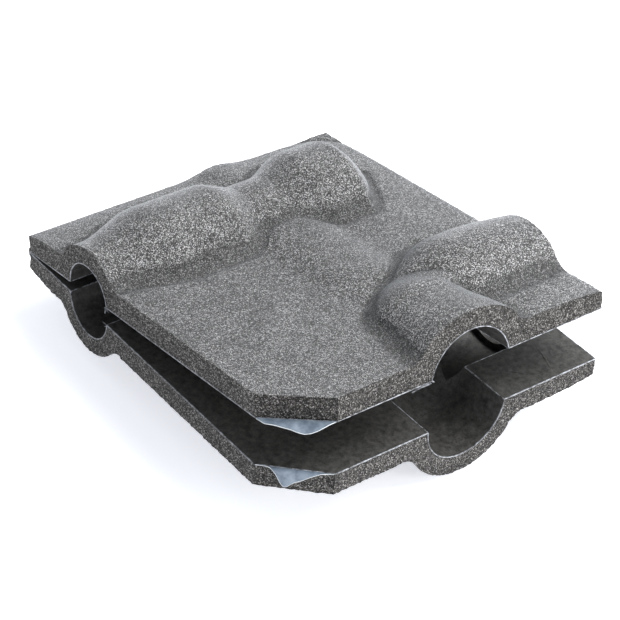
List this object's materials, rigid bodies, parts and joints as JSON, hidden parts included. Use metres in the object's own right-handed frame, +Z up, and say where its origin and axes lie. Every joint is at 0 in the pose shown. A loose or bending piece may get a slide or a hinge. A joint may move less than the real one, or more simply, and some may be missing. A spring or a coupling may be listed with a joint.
{
  "type": "pipe fitting insulation shell",
  "caption": "Fold-over foam shell for a pipe fitting: mirrored halves joined along one edge, half-round channels and bulges, self-adhesive inner faces with liner tabs.",
  "frame": {"origin": "centre of the bounding box's base, on the surface that the lower half's bulges rest on", "axes": "+X from the fold to the free edge, +Y along the fold, +Z up"},
  "size_m": [0.2348, 0.2, 0.0997],
  "materials": {
    "foam": "matte",
    "fold_foam": "matte",
    "adhesive": "satin",
    "liner": "satin",
    "tab_film": "satin"
  },
  "bodies": {
    "lower_half": {"lower_foam_shell": "foam", "lower_adhesive_layer": "adhesive", "lower_release_liner": "liner", "fold_hinge": "fold_foam"},
    "upper_half": {"upper_foam_shell": "foam", "upper_adhesive_layer": "adhesive", "upper_release_liner": "liner"},
    "lower_tab": {"lower_pull_tab": "tab_film"},
    "upper_tab": {"upper_pull_tab": "tab_film"}
  },
  "joints": [
    {"name": "fold", "type": "hinge", "parent": "lower_half", "child": "upper_half", "pos_m": [-0.11656, 0, 0.03721], "axis": [0, -1, 0], "range_deg": [-7.6, 172.4]},
    {"name": "lower_tab_bend", "type": "hinge", "parent": "lower_half", "child": "lower_tab", "pos_m": [0.10379, -0.0855, 0.03688], "axis": [-0.6854, -0.7281, 0], "range_deg": [-8, 42], "stiffness_Nm_per_rad": 0.00002},
    {"name": "upper_tab_bend", "type": "hinge", "parent": "upper_half", "child": "upper_tab", "pos_m": [0.10181, -0.0855, 0.06667], "axis": [-0.6794, -0.7281, -0.0907], "range_deg": [-5, 60], "stiffness_Nm_per_rad": 0.00002}
  ]
}
